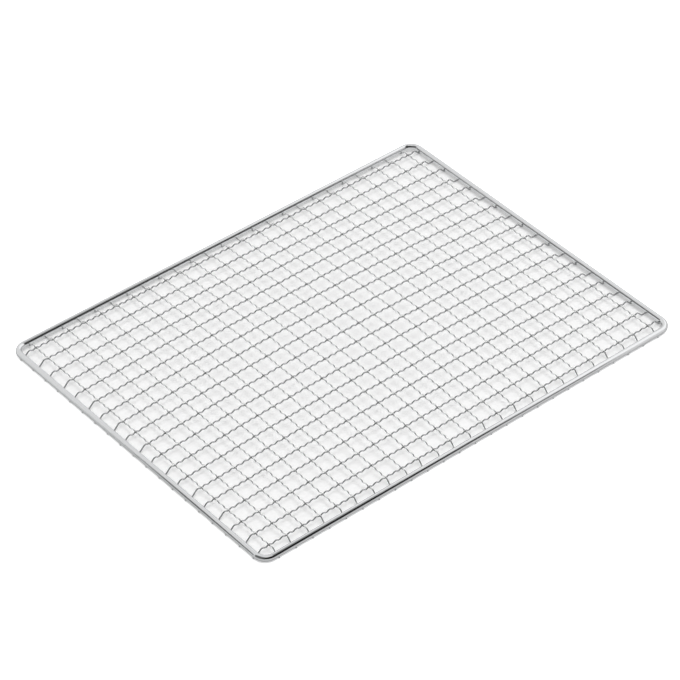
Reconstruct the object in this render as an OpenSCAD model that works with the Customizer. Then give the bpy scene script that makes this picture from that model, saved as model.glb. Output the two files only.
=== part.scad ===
// Barbecue grill mesh: crimped steel wires woven into a low dome, with every
// wire end turned down and seated against the underside of a round-rod rim.
// X runs the long way, Z is up and the wire ends rest on z = 0.

/* [Weave] */
// Diameter of the mesh wire
wire_d = 1.25; // [1:0.05:1.5]
// Clear gap left where two wires cross
weave_gap = 0.015; // [0.01:0.005:0.04]
// Bends of a wire in one cell, odd so that it goes over and under by turns
crimps = 5; // [3:2:7]
// Wires that run the short way, odd so that one lies on the centre line
cross_wires = 25; // [15:2:29]
// Wires that run the long way, odd so that one lies on the centre line
long_wires = 19; // [11:2:23]

/* [Dome] */
// Rise of the mesh from its border to its middle
crown = 5.8; // [2:0.1:9]
// Height of the mesh border above the rod's axis
mesh_lift = 0.9; // [0:0.1:2]

/* [Rim] */
// Diameter of the rim's rod
rod_d = 5; // [4:0.1:6]
// Radius of the rim's corners, at the rod's axis
corner_r = 9; // [6:0.5:9]
// Bends of a long wire past the outermost cross wire
long_tail = 2; // [2:1:4]
// Bends of a cross wire past the outermost long wire
cross_tail = 1; // [1:1:3]

/* [Wire ends] */
// Radius of the bend that lays a wire end flat under the rod
foot_r = 3.1; // [2.5:0.1:4]
// Length of a wire end past the rod's axis
overhang = 1.6; // [0.5:0.1:2.2]
// Clear gap between a wire end and the rod that it is seated on
seat_gap = 0.01; // [0.005:0.005:0.03]
// Clear gap beside the rod where a wire dips past it
dip_gap = 0.12; // [0.05:0.01:0.4]

/* [Hidden] */

wire_r = wire_d / 2;
rod_r = rod_d / 2;
round_faces = 32;

// A crimped wire is a chain of quarter arcs that turn it 45 degrees up and down
flank = 45;
bend_r = ceil(1000 * (wire_d + weave_gap) / 2 / (1 - cos(flank))) / 1000;
bend_l = bend_r * sqrt(2);
pitch = crimps * bend_l;

// Bends from the centre line to the outermost crossing, on each kind of wire
long_n = crimps * (cross_wires - 1) / 2;
cross_n = crimps * (long_wires - 1) / 2;

// The dome's profile is straight in this many sections, joined between bends
sections = 5;
joint_cut = 3;
joint_r = wire_r + 0.03;

// Heights of the rod's axis and of the mesh border
rim_z = wire_r + seat_gap + wire_r + rod_r;
mesh_z = rim_z + mesh_lift;

// Way that a wire needs from its last bend to the rod's axis, to dip past the rod
dip_reach = sqrt(2) * (rod_r + wire_r + dip_gap) + mesh_lift;
long_end = long_n + long_tail + 0.5;
cross_end = cross_n + cross_tail + 0.5;
half_l = round(100 * (long_end * bend_l + dip_reach)) / 100;
half_w = round(100 * (cross_end * bend_l + dip_reach)) / 100;

function wire_name(kind, i) = str(kind, "_wire_", i < 10 ? "0" : "", i);

// Places between bends where the dome's sections meet, counted from the middle
function joint(c, n) = floor(n * (2 * c - 1) / sections) + 0.5;

// Share of the crown at k bends from the middle, on a wire with n bends a side
function parabola(k, n) = 1 - pow(k / n, 2);
function dome(k, n) =
  k <= joint(1, n) ? parabola(joint(1, n), n)
  : k <= joint(2, n) ? lerp(k, joint(1, n), joint(2, n), n)
  : parabola(joint(2, n), n) * (n - k) / (n - joint(2, n));
function lerp(k, a, b, n) =
  parabola(a, n) + (parabola(b, n) - parabola(a, n)) * (k - a) / (b - a);

// The section that bend k belongs to, and the places where a section starts and ends
function section(k, n) = k < joint(1, n) ? 0 : k < joint(2, n) ? 1 : 2;
function section_start(c, n) = c == 0 ? -joint(1, n) : joint(c, n);
function section_end(c, n, end) = c == 2 ? end : joint(c + 1, n);

// A wire's height and slope there, where rise is the crown along that wire
function level(k, n, rise) = mesh_z + rise * dome(k, n);
function section_level(a, n, rise) = level(abs(a), n, rise);
function slope(a, b, n, rise) =
  asin((section_level(b, n, rise) - section_level(a, n, rise)) / ((b - a) * bend_l));

// A bend goes up or down by turns, and a wire is crimped to its last bend that goes up
function goes_up(k, up) = (k % 2 == 0) == up;
function crimp_end(end, up) = goes_up(end - 0.5, up) ? end : end - 1;

// Puts its child on the section's own line, which climbs at 45 degrees in the child's frame
module on_section(a, b, n, rise) {
  middle_x = (a + b) / 2 * bend_l;
  middle_z = (section_level(a, n, rise) + section_level(b, n, rise)) / 2;
  back = (b - a) / 2 * bend_r;
  translate([middle_x, 0, middle_z])
    rotate([90, 45 - slope(a, b, n, rise), 0])
      translate([-back, -back, 0])
        children();
}

// A quarter arc of wire, the i-th of its section, cut short where two sections meet
module crimp(i, up, cut_start, cut_end) {
  turn = 90 - cut_start - cut_end;
  centre = up ? [(i + 1) * bend_r, i * bend_r, 0] : [i * bend_r, (i + 1) * bend_r, 0];
  translate(centre)
    rotate_extrude(angle = turn, start = up ? 90 + cut_end : 270 + cut_start)
      translate([bend_r, 0])
        circle(d = wire_d, $fn = round_faces);
}

// One bend of the wire
module wire_bend(k, n, end, rise, up) {
  c = section(k, n);
  a = section_start(c, n);
  b = section_end(c, n, end);
  on_section(a, b, n, rise)
    crimp(
      k - a - 0.5,
      goes_up(k, up),
      k - 0.5 == a ? joint_cut : 0,
      k + 0.5 == b && c < 2 ? joint_cut : 0
    );
}

// The round knuckle where two sections of the dome meet
module wire_joint(k, n, rise) {
  translate([k * bend_l, 0, level(k, n, rise)])
    sphere(r = joint_r, $fn = round_faces);
}

// The end of the wire: a straight leg down past the rod, a bend and a foot under the rod
module wire_end(n, end, rise, half, part) {
  a = joint(2, n);
  tilt = slope(a, end, n, rise);
  dip = flank - tilt;
  run = (end - a) * bend_l;
  leg_x = (a + end) / 2 * bend_l + run / 2 * cos(tilt);
  drop = level(end, n, rise) - wire_r;
  tangent = foot_r * tan(dip / 2);
  leg = drop / sin(dip) - tangent;
  foot_x = leg_x + drop / tan(dip) + tangent;
  if (part == "leg") {
    on_section(a, end, n, rise)
      translate([(end - a) * bend_r, (end - a) * bend_r, 0])
        rotate([0, 90, 0])
          cylinder(h = leg - bend_r * sin(joint_cut), d = wire_d, $fn = round_faces);
  }
  if (part == "knee") {
    translate([foot_x - foot_r * sin(dip), 0, wire_r + foot_r * (1 - cos(dip))])
      sphere(r = joint_r, $fn = round_faces);
  }
  if (part == "foot") {
    translate([foot_x, 0, wire_r + foot_r])
      rotate([90, 0, 0]) {
        rotate_extrude(angle = -dip, start = 270)
          translate([foot_r, 0])
            circle(d = wire_d, $fn = round_faces);
        translate([0, -foot_r, 0])
          rotate([0, 90, 0])
            cylinder(h = half + overhang - foot_x, d = wire_d, $fn = round_faces);
      }
  }
}

// A whole wire along X, its two halves mirrored: bends by number, then the rest by name
module crimped_wire(n, longest_end, rise, up, half) {
  end = crimp_end(longest_end, up);
  last = end - 0.5;
  others = ["joint 1", "joint 2", "leg", "knee", "foot"];
  for (side = [0, 1], part = concat([for (k = [side : last]) k], others)) {
    mirror([side, 0, 0]) {
      if (is_num(part)) wire_bend(part, n, end, rise, up);
      else if (part == "joint 1") wire_joint(joint(1, n), n, rise);
      else if (part == "joint 2") wire_joint(joint(2, n), n, rise);
      else wire_end(n, end, rise, half, part);
    }
  }
}

// Wires that run the short way, counted along X
module cross_wire(i) {
  from_middle = i - (cross_wires + 1) / 2;
  rise = crown * dome(abs(from_middle) * crimps, long_n);
  color("gainsboro")
    translate([from_middle * pitch, 0, 0])
      rotate([0, 0, 90])
        crimped_wire(cross_n, cross_end, rise, from_middle % 2 == 0, half_w);
}

// Wires that run the long way, counted along Y
module long_wire(j) {
  from_middle = j - (long_wires + 1) / 2;
  rise = crown * dome(abs(from_middle) * crimps, cross_n);
  color("silver")
    translate([0, from_middle * pitch, 0])
      crimped_wire(long_n, long_end, rise, from_middle % 2 != 0, half_l);
}

// The rod bent round all four sides and butt-welded to itself
module rim() {
  straight_l = half_l - corner_r;
  straight_w = half_w - corner_r;
  color("lightgray")
    translate([0, 0, rim_z])
      for (half_turn = [0, 180], part = ["long side", "short side", "near corner", "far corner"])
        rotate([0, 0, half_turn]) {
          if (part == "long side")
            translate([-straight_l, -half_w, 0])
              rotate([0, 90, 0])
                cylinder(h = 2 * straight_l, d = rod_d, $fn = round_faces);
          if (part == "short side")
            translate([half_l, straight_w, 0])
              rotate([90, 0, 0])
                cylinder(h = 2 * straight_w, d = rod_d, $fn = round_faces);
          if (part == "near corner")
            translate([straight_l, -straight_w, 0])
              rim_corner(270);
          if (part == "far corner")
            translate([straight_l, straight_w, 0])
              rim_corner(0);
        }
}

module rim_corner(start) {
  rotate_extrude(angle = 90, start = start)
    translate([corner_r, 0])
      circle(d = rod_d, $fn = round_faces);
}

rim();
for (i = [1 : cross_wires]) {
  cross_wire(i);
}
for (j = [1 : long_wires]) {
  long_wire(j);
}
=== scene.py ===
"""Looks of a barbecue grill mesh: bright crimped wires woven inside a polished rod rim.

Lengths in the classes are millimetres, and every finished mesh is turned to metres once.
"""
import logging
import math
from dataclasses import dataclass
from enum import Enum

import bmesh
import bpy
from mathutils import Matrix, Vector


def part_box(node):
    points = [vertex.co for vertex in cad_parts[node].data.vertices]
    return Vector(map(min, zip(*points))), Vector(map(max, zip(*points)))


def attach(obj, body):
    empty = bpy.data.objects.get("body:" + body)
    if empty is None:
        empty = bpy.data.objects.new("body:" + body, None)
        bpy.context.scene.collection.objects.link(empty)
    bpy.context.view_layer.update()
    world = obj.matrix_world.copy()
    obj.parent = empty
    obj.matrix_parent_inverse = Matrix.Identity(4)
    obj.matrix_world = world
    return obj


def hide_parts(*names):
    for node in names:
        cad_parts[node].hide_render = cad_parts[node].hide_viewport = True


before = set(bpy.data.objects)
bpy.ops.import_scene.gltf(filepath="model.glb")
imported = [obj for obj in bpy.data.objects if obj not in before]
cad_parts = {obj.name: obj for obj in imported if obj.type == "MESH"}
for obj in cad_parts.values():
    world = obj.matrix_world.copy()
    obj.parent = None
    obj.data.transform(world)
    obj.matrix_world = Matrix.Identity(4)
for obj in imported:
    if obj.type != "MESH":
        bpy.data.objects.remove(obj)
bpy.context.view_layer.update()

MM = 0.001
LOG = logging.getLogger("grill_mesh")
X_AXIS = Vector((1.0, 0.0, 0.0))
Y_AXIS = Vector((0.0, 1.0, 0.0))
Z_AXIS = Vector((0.0, 0.0, 1.0))


def linear(hex_colour: str) -> tuple[float, float, float, float]:
    """Turns an sRGB hex colour into Blender's linear colour, by the sRGB standard's curve.

    Args:
        hex_colour: A colour such as "#C8C9CA".

    Returns:
        Red, green, blue and an alpha of 1, in linear light.
    """
    parts = [int(hex_colour[i:i + 2], 16) / 255 for i in (1, 3, 5)]
    low = [p / 12.92 for p in parts]
    high = [((p + 0.055) / 1.055) ** 2.4 for p in parts]
    values = [a if p <= 0.04045 else b for p, a, b in zip(parts, low, high)]
    return (values[0], values[1], values[2], 1.0)


def empty_tree(owner: bpy.types.Material | bpy.types.World) -> bpy.types.NodeTree:
    """Turns on the nodes of a material or world.

    Args:
        owner: The new material or world.

    Returns:
        Its node tree, with nothing in it.
    """
    owner.use_nodes = True
    owner.node_tree.nodes.clear()
    return owner.node_tree


def add_node(
    tree: bpy.types.NodeTree,
    kind: str,
    inputs: dict[str | int, object] | None = None,
    **settings: object,
) -> bpy.types.Node:
    """Adds a shader node with its settings, its values and its links.

    Args:
        tree: The node tree that the node goes into.
        kind: Blender's name for the node, such as "ShaderNodeBump".
        inputs: For each input socket, a value or the output socket to link it to.
        **settings: The node's own properties.

    Returns:
        The new node.
    """
    node = tree.nodes.new(kind)
    for name, value in settings.items():
        setattr(node, name, value)
    for socket, value in (inputs or {}).items():
        if isinstance(value, bpy.types.NodeSocket):
            tree.links.new(value, node.inputs[socket])
        else:
            node.inputs[socket].default_value = value
    return node


def object_from(mesh: bmesh.types.BMesh, name: str, place: Matrix) -> bpy.types.Object:
    """Turns a bmesh in mm into a smooth-shaded object in metres.

    Args:
        mesh: The shape, freed here.
        name: The object's name.
        place: Where the shape goes, in mm.

    Returns:
        The new object, at the origin and linked to the scene.
    """
    mesh.transform(Matrix.Scale(MM, 4) @ place)
    for face in mesh.faces:
        face.smooth = True
    data = bpy.data.meshes.new(name)
    mesh.to_mesh(data)
    mesh.free()
    piece = bpy.data.objects.new(name, data)
    bpy.context.scene.collection.objects.link(piece)
    return piece


class RoundStock:
    """A round bar grown ring by ring along its bends, as a wire former feeds and bends it.

    Every point keeps how far along the bar it is and where around it, for the draw marks.
    """

    DRAW_MARKS = "draw_marks"
    SEAM_MERGE = 0.001
    SHEAR_STEPS = 2

    def __init__(
        self, radius: float, sides: int, bend_axis: Vector, mark_offset: float = 0.0
    ) -> None:
        """Starts an empty bar.

        Args:
            radius: The bar's radius in mm.
            sides: Faces around the bar.
            bend_axis: The axis that every bend turns about.
            mark_offset: Length along the bar's marks where this piece starts, in mm.
        """
        self.radius = radius
        self.sides = sides
        self.bend_axis = bend_axis
        self.mesh = bmesh.new()
        self.marks = self.mesh.verts.layers.float_vector.new(self.DRAW_MARKS)
        self.along = mark_offset
        self.verts: list[bmesh.types.BMVert] = []
        self.edges: list[bmesh.types.BMEdge] = []

    def start(self, point: Vector, heading: Vector) -> None:
        """Lays the first ring.

        Args:
            point: The ring's centre.
            heading: The way that the bar runs from it.
        """
        turn = heading.to_track_quat("Z", "Y").to_matrix().to_4x4()
        made = bmesh.ops.create_circle(
            self.mesh, segments=self.sides, radius=self.radius,
            matrix=Matrix.Translation(point) @ turn,
        )
        self.verts = made["verts"]
        self.edges = list({edge for vert in self.verts for edge in vert.link_edges})
        for step, vert in enumerate(self.verts):
            angle = math.tau * step / self.sides
            vert[self.marks] = (
                self.along, self.radius * math.cos(angle), self.radius * math.sin(angle)
            )

    def _grow(self, move: Matrix, length: float) -> None:
        """Extrudes the last ring by one step.

        Args:
            move: Takes the last ring to the new one.
            length: Length of bar in that step, in mm.
        """
        made = bmesh.ops.extrude_edge_only(self.mesh, edges=self.edges)["geom"]
        self.verts = [item for item in made if isinstance(item, bmesh.types.BMVert)]
        ring = set(self.verts)
        self.edges = [
            item for item in made
            if isinstance(item, bmesh.types.BMEdge) and ring.issuperset(item.verts)
        ]
        self.along += length
        bmesh.ops.transform(self.mesh, matrix=move, verts=self.verts)
        for vert in self.verts:
            mark = vert[self.marks]
            vert[self.marks] = (self.along, mark[1], mark[2])

    def straight(self, way: Vector) -> None:
        """Feeds the bar straight on by the vector given."""
        self._grow(Matrix.Translation(way), way.length)

    def bend(self, centre: Vector, angle: float, steps: int, radius: float) -> None:
        """Bends the bar round a centre.

        Args:
            centre: A point on the axis of the bend.
            angle: The turn in radians, positive by the right-hand rule about the bend axis.
            steps: Rings in the bend.
            radius: The bend's radius at the middle of the bar, in mm.
        """
        step = Matrix.Rotation(angle / steps, 4, self.bend_axis)
        move = Matrix.Translation(centre) @ step @ Matrix.Translation(-centre)
        for _ in range(steps):
            self._grow(move, abs(angle) / steps * radius)

    def nudge(self, pivot: Vector, turn: float, shift: Vector) -> None:
        """Turns and shifts the last ring a hair, where two stretches of the dome meet.

        Args:
            pivot: The ring's centre.
            turn: The small turn in radians.
            shift: The small move in mm.
        """
        rotation = Matrix.Rotation(turn, 3, self.bend_axis)
        bmesh.ops.rotate(self.mesh, cent=pivot, matrix=rotation, verts=self.verts)
        bmesh.ops.translate(self.mesh, vec=shift, verts=self.verts)

    def cut_off(self, chamfer: float) -> None:
        """Closes the bar with a sheared end.

        Args:
            chamfer: Size of the rounding that the shear leaves on the edge, in mm.
        """
        bmesh.ops.contextual_create(self.mesh, geom=self.edges)
        bmesh.ops.bevel(
            self.mesh, geom=self.edges, offset=chamfer, offset_type="OFFSET",
            segments=self.SHEAR_STEPS, profile=0.5, affect="EDGES", material=-1,
            clamp_overlap=True,
        )

    def mirror(self, axis: str) -> None:
        """Adds the bar's mirror image across the plane through the origin.

        Args:
            axis: The axis that is turned round, "X" or "Y". Ends on the plane are joined.
        """
        geometry = [*self.mesh.verts, *self.mesh.edges, *self.mesh.faces]
        bmesh.ops.mirror(
            self.mesh, geom=geometry, matrix=Matrix.Identity(4),
            merge_dist=self.SEAM_MERGE, axis=axis,
        )

    def finish(self, name: str, place: Matrix) -> bpy.types.Object:
        """Makes the bar an object in metres, with its place in its mesh.

        Args:
            name: The object's name.
            place: Where the bar goes, in mm.

        Returns:
            The object, smooth-shaded and linked to the scene.
        """
        bmesh.ops.recalc_face_normals(self.mesh, faces=self.mesh.faces)
        return object_from(self.mesh, name, place)


@dataclass(frozen=True)
class DrawnSteel:
    """Stainless steel drawn through a die: bright, with fine marks that run along it.

    Colour and gloss follow a stretched noise, whose values lie mostly between streak_low
    and streak_high.
    """

    name: str
    colour: str
    shade: str
    roughness: float
    roughness_spread: float
    mark_width: float
    mark_length: float
    mark_depth: float
    streak_detail: float = 3.0
    streak_break_up: float = 0.6
    streak_low: float = 0.3
    streak_high: float = 0.7
    relief: float = 0.35

    def material(self) -> bpy.types.Material:
        """Builds the finish.

        Returns:
            A metal whose colour, gloss and relief vary in streaks along the bar.
        """
        made = bpy.data.materials.new(self.name)
        tree = empty_tree(made)
        marks = add_node(tree, "ShaderNodeAttribute", attribute_name=RoundStock.DRAW_MARKS)
        stretched = add_node(tree, "ShaderNodeMapping", {
            "Vector": marks.outputs["Vector"],
            "Scale": (1 / self.mark_length, 1 / self.mark_width, 1 / self.mark_width),
        })
        streaks = add_node(tree, "ShaderNodeTexNoise", {
            "Vector": stretched.outputs["Vector"], "Scale": 1.0,
            "Detail": self.streak_detail, "Roughness": self.streak_break_up,
        })
        gloss = add_node(tree, "ShaderNodeMapRange", {
            "Value": streaks.outputs["Fac"],
            "From Min": self.streak_low, "From Max": self.streak_high,
            "To Min": self.roughness - self.roughness_spread,
            "To Max": self.roughness + self.roughness_spread,
        })
        tint = add_node(tree, "ShaderNodeMix", {
            "Factor": streaks.outputs["Fac"], "A": linear(self.colour), "B": linear(self.shade),
        }, data_type="RGBA")
        relief = add_node(tree, "ShaderNodeBump", {
            "Height": streaks.outputs["Fac"], "Strength": self.relief,
            "Distance": self.mark_depth * MM,
        })
        metal = add_node(tree, "ShaderNodeBsdfPrincipled", {
            "Base Color": tint.outputs["Result"], "Metallic": 1.0,
            "Roughness": gloss.outputs["Result"], "Normal": relief.outputs["Normal"],
        })
        add_node(tree, "ShaderNodeOutputMaterial", {"Surface": metal.outputs["BSDF"]})
        return made


# Real draw marks are hundredths of a millimetre wide, too fine to show, so all three
# finishes have them coarser than they are.
# The rod is polished after it is drawn, so it mirrors the room almost cleanly.
POLISHED_ROD = DrawnSteel(
    name="polished_stainless_rod", colour="#DADBDC", shade="#CDCECF",
    roughness=0.10, roughness_spread=0.03, mark_width=0.5, mark_length=60.0, mark_depth=0.01,
)
# The wires keep the die's finish, so their reflections are softer than the rod's. The cross
# wires' colour is painted lighter than the steel, as painted light.
CROSS_WIRE_PAINTED_LIGHTER = DrawnSteel(
    name="cross_wire_painted_lighter", colour="#EAEBEB", shade="#DFE0E0",
    roughness=0.13, roughness_spread=0.04, mark_width=0.2, mark_length=12.0, mark_depth=0.01,
)
# The long wires are the same steel, with a colour painted darker and greyer than the cross
# wires', as painted shade.
LONG_WIRE_PAINTED_DARKER = DrawnSteel(
    name="long_wire_painted_darker", colour="#C2C3C3", shade="#B6B7B8",
    roughness=0.13, roughness_spread=0.04, mark_width=0.2, mark_length=12.0, mark_depth=0.01,
)


class WireKind(Enum):
    """The two ways that a mesh wire runs."""

    LONG = "long_wire"
    CROSS = "cross_wire"


@dataclass(frozen=True)
class Weave:
    """The sizes that all wires share, in mm."""

    wire_d: float = 1.25
    weave_gap: float = 0.015
    crimps: int = 5
    cross_wires: int = 25
    long_wires: int = 19
    crown: float = 5.8
    mesh_lift: float = 0.9
    foot_r: float = 3.1
    long_tail: int = 2
    cross_tail: int = 1
    sections: int = 5
    flank: float = math.radians(45)

    @property
    def wire_r(self) -> float:
        """Radius of the wire."""
        return self.wire_d / 2

    @property
    def bend_r(self) -> float:
        """Radius of one crimp at the middle of the wire, rounded up to a thousandth."""
        height = (self.wire_d + self.weave_gap) / 2
        return math.ceil(1000 * height / (1 - math.cos(self.flank))) / 1000

    @property
    def bend_l(self) -> float:
        """Length of one crimp along the wire."""
        return self.bend_r * math.sqrt(2)

    def rim_z(self) -> float:
        """Height of the rod's axis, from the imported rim."""
        low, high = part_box("rim")
        return (low.z + high.z) / 2 / MM

    def mesh_z(self) -> float:
        """Height of the mesh at its border."""
        return self.rim_z() + self.mesh_lift

    def joint(self, number: int, bends: int) -> float:
        """Where two stretches of the dome meet, in crimps from the middle."""
        return math.floor(bends * (2 * number - 1) / self.sections) + 0.5

    def dome(self, place: float, bends: int) -> float:
        """Share of the crown at a place.

        Args:
            place: Crimps from the middle.
            bends: Crimps from the middle to the outermost crossing.

        Returns:
            1 at the top of the dome and 0 at the mesh's border.
        """
        inner, outer = self.joint(1, bends), self.joint(2, bends)
        top, shoulder = 1 - (inner / bends) ** 2, 1 - (outer / bends) ** 2
        if place <= inner:
            return top
        if place <= outer:
            return top + (shoulder - top) * (place - inner) / (outer - inner)
        return shoulder * (bends - place) / (bends - outer)


@dataclass
class MeshWire:
    """One crimped wire, from the middle of the weave to its feet under the rod.

    Along its draw marks each wire starts one stride after the wire before it, so that
    neighbours don't look alike.
    """

    weave: Weave
    kind: WireKind
    number: int
    sides: int = 10
    bend_steps: int = 5
    foot_steps: int = 4
    shear_chamfer: float = 0.12
    mark_stride: float = 173.0

    def __post_init__(self) -> None:
        """Works out the wire's own sizes from its kind and number."""
        weave = self.weave
        long = self.kind is WireKind.LONG
        count = weave.long_wires if long else weave.cross_wires
        others = weave.cross_wires if long else weave.long_wires
        tail = weave.long_tail if long else weave.cross_tail
        from_middle = self.number - (count + 1) // 2
        side_bends = weave.crimps * (count - 1) // 2
        self.node = f"{self.kind.value}_{self.number:02d}"
        self.bends = weave.crimps * (others - 1) // 2
        self.rise = weave.crown * weave.dome(abs(from_middle) * weave.crimps, side_bends)
        self.middle_up = (from_middle % 2 != 0) is long
        longest = self.bends + tail
        self.last = longest if self._goes_up(longest) else longest - 1

    def _goes_up(self, bend: int) -> bool:
        """Whether a crimp, counted from the middle, goes over."""
        return (bend % 2 == 0) is self.middle_up

    def _side(self, bend: int) -> int:
        """1 for a crimp that goes over, -1 for one that goes under."""
        return 1 if self._goes_up(bend) else -1

    def _level(self, place: float) -> float:
        """Height of the wire's middle line at a place, in crimps from the middle."""
        return self.weave.mesh_z() + self.rise * self.weave.dome(abs(place), self.bends)

    def _stretches(self) -> list[tuple[float, float]]:
        """The straight stretches of the dome's profile, as crimps from the middle."""
        inner, outer = self.weave.joint(1, self.bends), self.weave.joint(2, self.bends)
        return [(-inner, inner), (inner, outer), (outer, self.last + 0.5)]

    def _crimp_half(self, bar: RoundStock) -> tuple[Vector, float]:
        """Crimps one half of the wire, from its middle outwards.

        Args:
            bar: The wire so far, which is empty.

        Returns:
            The point after the last crimp, and the slope of the stretch that it is on.
        """
        weave = self.weave
        sink = weave.bend_r * math.cos(weave.flank)
        crest = Vector((0, 0, self._level(0) + self._side(0) * (weave.bend_r - sink)))
        bar.start(crest, X_AXIS)
        point, last_tilt = Vector(), 0.0
        for start, end in self._stretches():
            length = (end - start) * weave.bend_l
            tilt = math.asin((self._level(end) - self._level(start)) / length)
            line = Vector((math.cos(tilt), 0, math.sin(tilt)))
            normal = Vector((-math.sin(tilt), 0, math.cos(tilt)))
            middle = Vector((
                (start + end) / 2 * weave.bend_l, 0, (self._level(start) + self._level(end)) / 2
            ))
            if start > 0:
                entry = middle - line * length / 2
                bar.nudge(point, last_tilt - tilt, entry - point)
            for bend in range(max(0, math.ceil(start)), math.floor(end) + 1):
                side = self._side(bend)
                foot = middle + line * (bend - (start + end) / 2) * weave.bend_l
                centre = foot - normal * side * sink
                turn = side * 2 * weave.flank
                if bend == 0:
                    bar.bend(centre, turn / 2, self.bend_steps // 2 + 1, weave.bend_r)
                else:
                    bar.bend(centre, turn, self.bend_steps, weave.bend_r)
            point, last_tilt = middle + line * length / 2, tilt
        return point, last_tilt

    def _seat_end(self, bar: RoundStock, point: Vector, tilt: float) -> None:
        """Runs the wire down past the rod and lays its foot under it.

        Args:
            bar: The wire, crimped to its last bend.
            point: Where that bend ends.
            tilt: Slope of the last stretch.
        """
        weave = self.weave
        _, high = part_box(self.node)
        reach = (high.x if self.kind is WireKind.LONG else high.y) / MM
        dip = weave.flank - tilt
        drop = point.z - weave.wire_r
        tangent = weave.foot_r * math.tan(dip / 2)
        leg = drop / math.sin(dip) - tangent
        foot = Vector((point.x + drop / math.tan(dip) + tangent, 0, weave.wire_r + weave.foot_r))
        bar.straight(Vector((math.cos(dip), 0, -math.sin(dip))) * leg)
        bar.bend(foot, -dip, self.foot_steps, weave.foot_r)
        bar.straight(X_AXIS * (reach - foot.x))
        bar.cut_off(self.shear_chamfer)

    def build(self) -> bpy.types.Object:
        """Builds the wire where its node is.

        Returns:
            The wire's object.
        """
        bar = RoundStock(
            self.weave.wire_r, self.sides, Y_AXIS, mark_offset=self.number * self.mark_stride
        )
        point, tilt = self._crimp_half(bar)
        self._seat_end(bar, point, tilt)
        bar.mirror("X")
        low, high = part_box(self.node)
        middle = (low + high) / 2 / MM
        place = Matrix.Translation((middle.x, middle.y, 0))
        if self.kind is WireKind.CROSS:
            place = place @ Matrix.Rotation(math.radians(90), 4, "Z")
        return bar.finish(f"crimped_{self.node}", place)

    def dress(self, wire: bpy.types.Object, finish: bpy.types.Material) -> None:
        """Gives the wire its finish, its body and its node.

        Args:
            wire: The wire's object.
            finish: Its material.
        """
        wire.data.materials.append(finish)
        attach(wire, "root")
        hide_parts(self.node)


@dataclass(frozen=True)
class RodRim:
    """The rod that is bent round all four sides."""

    rod_d: float = 5.0
    corner_r: float = 9.0
    sides: int = 40
    corner_steps: int = 16

    def build(self) -> bpy.types.Object:
        """Bends the rod round one quarter and mirrors it twice.

        Returns:
            The rim's object.
        """
        low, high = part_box("rim")
        half_l = high.x / MM - self.rod_d / 2
        half_w = high.y / MM - self.rod_d / 2
        axis_z = (low.z + high.z) / 2 / MM
        bar = RoundStock(self.rod_d / 2, self.sides, Z_AXIS)
        bar.start(Vector((0, -half_w, axis_z)), X_AXIS)
        bar.straight(X_AXIS * (half_l - self.corner_r))
        corner = Vector((half_l - self.corner_r, self.corner_r - half_w, axis_z))
        bar.bend(corner, math.radians(90), self.corner_steps, self.corner_r)
        bar.straight(Y_AXIS * (half_w - self.corner_r))
        bar.mirror("Y")
        bar.mirror("X")
        return bar.finish("bent_rod_rim", Matrix.Identity(4))

    def dress(self, rim: bpy.types.Object, finish: bpy.types.Material) -> None:
        """Gives the rim its finish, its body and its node.

        Args:
            rim: The rim's object.
            finish: Its material.
        """
        rim.data.materials.append(finish)
        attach(rim, "root")
        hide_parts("rim")


@dataclass(frozen=True)
class Viewpoint:
    """The camera, as fitted to the photograph's 680 by 680 frame, in mm and degrees."""

    azimuth: float = -40.035
    elevation: float = 40.615
    distance: float = 2507.2
    shift_right: float = 2.427
    shift_up: float = 1.723
    focal_px: float = 3350.7
    frame_px: int = 680
    sensor: float = 36.0
    clip_near: float = 100.0
    clip_far: float = 50000.0

    def place(self, target_z: float) -> bpy.types.Object:
        """Makes the camera and gives it to the scene.

        Args:
            target_z: Height in mm that the distance is measured from.

        Returns:
            The camera.
        """
        azimuth, elevation = math.radians(self.azimuth), math.radians(self.elevation)
        back = Vector((
            math.sin(azimuth) * math.cos(elevation),
            -math.cos(azimuth) * math.cos(elevation),
            math.sin(elevation),
        ))
        right = Vector((math.cos(azimuth), math.sin(azimuth), 0))
        up = back.cross(right)
        data = bpy.data.cameras.new("photo_camera")
        data.sensor_width = self.sensor
        data.lens = self.focal_px * self.sensor / self.frame_px
        data.clip_start, data.clip_end = self.clip_near * MM, self.clip_far * MM
        camera = bpy.data.objects.new("photo_camera", data)
        turn = Matrix((right, up, back)).transposed().to_4x4()
        spot = back * self.distance - right * self.shift_right - up * self.shift_up
        spot.z += target_z
        camera.matrix_world = Matrix.Translation(spot * MM) @ turn
        bpy.context.scene.collection.objects.link(camera)
        bpy.context.scene.camera = camera
        return camera


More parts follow.
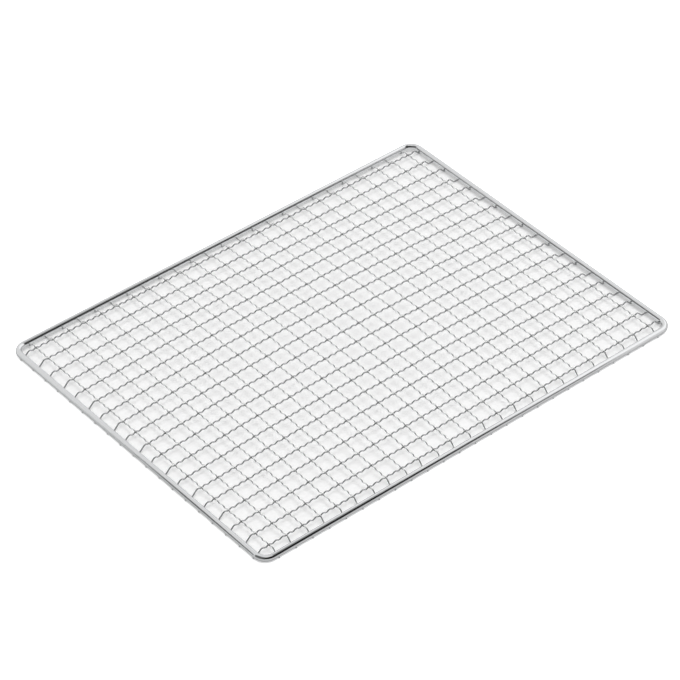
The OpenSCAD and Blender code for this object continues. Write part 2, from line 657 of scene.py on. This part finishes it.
@dataclass(frozen=True)
class Card:
    """A flat panel of the studio that only shiny surfaces see.

    The outline's corners are given as slopes from the object: how far the panel reaches
    along X and Y for each unit of its height. Where panels overlap, the lowest is seen.
    """

    name: str
    height: float
    glow_front: float
    glow_back: float
    slopes: tuple[tuple[float, float], ...]

    def place(self) -> bpy.types.Object:
        """Hangs the panel level over the table.

        Returns:
            The panel, which is stage and not object.
        """
        mesh = bmesh.new()
        mesh.faces.new([
            mesh.verts.new((x * self.height, y * self.height, self.height))
            for x, y in self.slopes
        ])
        panel = object_from(mesh, self.name, Matrix.Identity(4))
        made = bpy.data.materials.new(self.name)
        tree = empty_tree(made)
        place = add_node(tree, "ShaderNodeTexCoord")
        axes = add_node(tree, "ShaderNodeSeparateXYZ", {0: place.outputs["Object"]})
        reach = [y * self.height * MM for _, y in self.slopes]
        glow = add_node(tree, "ShaderNodeMapRange", {
            "Value": axes.outputs["Y"], "From Min": min(reach), "From Max": max(reach),
            "To Min": self.glow_front, "To Max": self.glow_back,
        })
        light = add_node(tree, "ShaderNodeEmission", {"Strength": glow.outputs["Result"]})
        add_node(tree, "ShaderNodeOutputMaterial", {"Surface": light.outputs["Emission"]})
        panel.data.materials.append(made)
        panel.visible_camera = False
        panel.visible_diffuse = False
        panel.visible_shadow = False
        return panel


# The room in front of the table, on the camera's side, is unlit.
FRONT_DARK = Card(
    name="unlit_front", height=3000, glow_front=0.025, glow_back=0.025,
    slopes=(
        (0.65, -0.40), (0.715, -0.62), (0.79, -0.85), (0.86, -1.0), (1.075, -1.45),
        (1.32, -1.95), (1.70, -2.75), (4.0, -7.0),
        (-6.0, -7.0), (-6.0, -3.0), (-1.6, -1.15), (-0.8, -0.9), (-0.3, -0.40),
    ),
)
# A grey stand reaches in on the camera's side, lower down and nearer to the table.
NEAR_STAND = Card(
    name="grey_near_stand", height=600, glow_front=0.12, glow_back=0.12,
    slopes=(
        (0.75, -1.20), (1.17, -1.20), (1.30, -1.45), (1.40, -1.65), (1.70, -2.15),
        (2.6, -3.6), (1.4, -3.6), (0.95, -2.15), (0.80, -1.65),
    ),
)
# A lit white sheet hangs on the right.
BRIGHT_SHEET = Card(
    name="bright_right_sheet", height=2990, glow_front=1.35, glow_back=1.35,
    slopes=((0.68, -0.36), (0.95, -0.90), (2.6, -0.90), (2.6, 0.9), (0.62, 0.9), (0.62, -0.1)),
)
# The right-hand wall, past the white sheet, is duller.
RIGHT_WALL = Card(
    name="dull_right_wall", height=3030, glow_front=0.6, glow_back=0.6,
    slopes=((2.6, -3.0), (12.0, -8.0), (12.0, 6.0), (2.6, 2.0)),
)
# The room on the left, beside the camera, is dim.
LEFT_DIM = Card(
    name="dim_left_room", height=3005, glow_front=0.18, glow_back=0.18,
    slopes=(
        (-0.30, -0.42), (-0.80, -0.92), (-1.6, -1.17), (-6.0, -3.0), (-9.0, -3.0),
        (-9.0, 2.8), (-0.40, 0.42), (-0.30, 0.30),
    ),
)
# A grey wall stands behind the table on the left.
LEFT_WALL = Card(
    name="grey_left_wall", height=3010, glow_front=0.15, glow_back=0.15,
    slopes=(
        (-0.75, 0.80), (-1.4, 1.0), (-9.0, 4.4), (-9.0, 7.6), (-5.07, 4.1),
        (-3.07, 2.42), (-2.07, 1.64), (-1.566, 1.31), (-1.066, 1.03), (-0.75, 0.86),
    ),
)
# A strip of the ceiling is bright at the back and falls off towards the camera.
CEILING = Card(
    name="ceiling_falloff", height=3020, glow_front=0.22, glow_back=1.0,
    slopes=((0.52, -0.42), (0.52, 0.95), (0.30, 0.95), (0.30, -0.42)),
)


@dataclass(frozen=True)
class Studio:
    """A pale table under soft light, with lengths in mm.

    The lifts are what the table shows beyond the light that falls on it: to the camera
    one level under the mesh and a higher one around it, whose extra is painted light that
    washes out the object's shadow there. In the steel the table shows the first one only,
    fading out across the rod's axis, a painted shade for the rod's shadow beside it.
    """

    floor_size: float = 8000.0
    floor_colour: str = "#F4F4F4"
    lift_under_mesh: float = 0.24
    # Around the rim: a white backdrop, plus painted light that washes out the object's shadow
    # there.
    backdrop_and_painted_light_around: float = 0.74
    edge_blend: float = 1.5
    room_seen: float = 1.0
    room_light: float = 0.44
    lamp_spot: tuple[float, float, float] = (500.0, -500.0, 3400.0)
    lamp_size: float = 2400.0
    lamp_watts: float = 50.0

    def build(self, rim: RodRim) -> None:
        """Sets the view, and makes the table, the room and the lamp.

        Args:
            rim: The rim that lies on the table.
        """
        bpy.context.scene.view_settings.view_transform = "Standard"
        self.floor(rim)
        self.room()
        self.softbox()

    @staticmethod
    def _past_rod(tree: bpy.types.NodeTree, rim: RodRim) -> bpy.types.NodeSocket:
        """Measures how far a point of the table lies outside the line of the rod's axis.

        Args:
            tree: The table's node tree.
            rim: The rim that lies on the table.

        Returns:
            The distance in metres, by the rounded corners too. Inside the line it is
            negative, down to the corner's radius.
        """
        _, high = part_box("rim")
        bend = rim.corner_r * MM
        inset = rim.rod_d / 2 * MM + bend
        place = add_node(tree, "ShaderNodeTexCoord")
        quarter = add_node(
            tree, "ShaderNodeVectorMath", {0: place.outputs["Object"]}, operation="ABSOLUTE"
        )
        past = add_node(tree, "ShaderNodeVectorMath", {
            0: quarter.outputs["Vector"], 1: (high.x - inset, high.y - inset, 0),
        }, operation="SUBTRACT")
        outside = add_node(tree, "ShaderNodeVectorMath", {
            0: past.outputs["Vector"], 1: (0, 0, 0),
        }, operation="MAXIMUM")
        reach = add_node(
            tree, "ShaderNodeVectorMath", {0: outside.outputs["Vector"]}, operation="LENGTH"
        )
        distance = add_node(tree, "ShaderNodeMath", {
            0: reach.outputs["Value"], 1: bend,
        }, operation="SUBTRACT")
        return distance.outputs[0]

    def floor(self, rim: RodRim) -> bpy.types.Object:
        """Lays the table top.

        Args:
            rim: The rim that lies on it, under whose rod the levels change.

        Returns:
            The floor, which is stage and not object.
        """
        mesh = bmesh.new()
        bmesh.ops.create_grid(mesh, x_segments=1, y_segments=1, size=self.floor_size / 2)
        floor = object_from(mesh, "table_top", Matrix.Identity(4))
        made = bpy.data.materials.new("white_table")
        tree = empty_tree(made)
        path = add_node(tree, "ShaderNodeLightPath")
        past_rod = self._past_rod(tree, rim)
        blend = self.edge_blend * MM
        # To the camera the table around the rim is lifted more than under the mesh: beyond a
        # white backdrop, painted light that washes out the object's shadow there.
        level = add_node(tree, "ShaderNodeMapRange", {
            "Value": past_rod, "From Min": 0.0, "From Max": blend,
            "To Min": self.lift_under_mesh, "To Max": self.backdrop_and_painted_light_around,
        })
        # In the steel the lift fades out across the rod's axis line, so the table beside the rod
        # mirrors darker: painted shade for the rod's shadow there.
        mirror_lift_with_painted_shade = add_node(tree, "ShaderNodeMapRange", {
            "Value": past_rod, "From Min": -blend, "From Max": blend,
            "To Min": self.lift_under_mesh, "To Max": 0.0,
        })
        mirrored = add_node(tree, "ShaderNodeMath", {
            0: path.outputs["Is Glossy Ray"], 1: mirror_lift_with_painted_shade.outputs["Result"],
        }, operation="MULTIPLY")
        lift = add_node(tree, "ShaderNodeMath", {
            0: path.outputs["Is Camera Ray"], 1: level.outputs["Result"], 2: mirrored.outputs[0],
        }, operation="MULTIPLY_ADD")
        paper = add_node(tree, "ShaderNodeBsdfDiffuse", {"Color": linear(self.floor_colour)})
        glow = add_node(tree, "ShaderNodeEmission", {"Strength": lift.outputs[0]})
        both = add_node(tree, "ShaderNodeAddShader", {
            0: paper.outputs["BSDF"], 1: glow.outputs["Emission"],
        })
        add_node(tree, "ShaderNodeOutputMaterial", {"Surface": both.outputs["Shader"]})
        floor.data.materials.append(made)
        return floor

    def room(self) -> None:
        """Fills the room with even light, dimmer on the table than it looks or mirrors."""
        world = bpy.data.worlds.new("studio_room")
        bpy.context.scene.world = world
        tree = empty_tree(world)
        path = add_node(tree, "ShaderNodeLightPath")
        seen = add_node(tree, "ShaderNodeMath", {
            0: path.outputs["Is Camera Ray"], 1: path.outputs["Is Glossy Ray"],
        }, operation="MAXIMUM")
        strength = add_node(tree, "ShaderNodeMix", {
            "Factor": seen.outputs[0], "A": self.room_light, "B": self.room_seen,
        }, data_type="FLOAT")
        room = add_node(tree, "ShaderNodeBackground", {
            "Color": (1, 1, 1, 1), "Strength": strength.outputs["Result"],
        })
        add_node(tree, "ShaderNodeOutputWorld", {"Surface": room.outputs["Background"]})

    def softbox(self) -> bpy.types.Object:
        """Hangs the lamp over the table, pointed at the middle of the object.

        Returns:
            The lamp, which the steel doesn't mirror.
        """
        data = bpy.data.lights.new("right_softbox", "AREA")
        data.shape = "SQUARE"
        data.size = self.lamp_size * MM
        data.energy = self.lamp_watts
        lamp = bpy.data.objects.new("right_softbox", data)
        spot = Vector(self.lamp_spot)
        turn = spot.to_track_quat("Z", "Y").to_matrix().to_4x4()
        lamp.matrix_world = Matrix.Translation(spot * MM) @ turn
        lamp.visible_glossy = False
        bpy.context.scene.collection.objects.link(lamp)
        return lamp


def report(piece: bpy.types.Object) -> None:
    """Logs a finished piece."""
    LOG.info("%s: %d points", piece.name, len(piece.data.vertices))


def build_wires(weave: Weave) -> None:
    """Builds and dresses every wire of the weave.

    Args:
        weave: The sizes that all wires share.
    """
    # The cross wires get the finish painted lighter and the long wires the one painted darker:
    # painted light and painted shade on one steel.
    kinds = (
        (WireKind.CROSS, weave.cross_wires, CROSS_WIRE_PAINTED_LIGHTER.material()),
        (WireKind.LONG, weave.long_wires, LONG_WIRE_PAINTED_DARKER.material()),
    )
    for kind, count, finish in kinds:
        for number in range(1, count + 1):
            wire = MeshWire(weave, kind, number)
            piece = wire.build()
            wire.dress(piece, finish)
            report(piece)


def main() -> None:
    """Makes the camera, the wires, the rim and the studio, in that order."""
    logging.basicConfig(level=logging.INFO, format="%(message)s")
    weave = Weave()
    Viewpoint().place(weave.rim_z())
    build_wires(weave)
    rim = RodRim()
    piece = rim.build()
    rim.dress(piece, POLISHED_ROD.material())
    report(piece)
    Studio().build(rim)
    for card in (FRONT_DARK, NEAR_STAND, LEFT_DIM, BRIGHT_SHEET, LEFT_WALL, RIGHT_WALL, CEILING):
        card.place()


if __name__ == "__main__":
    main()
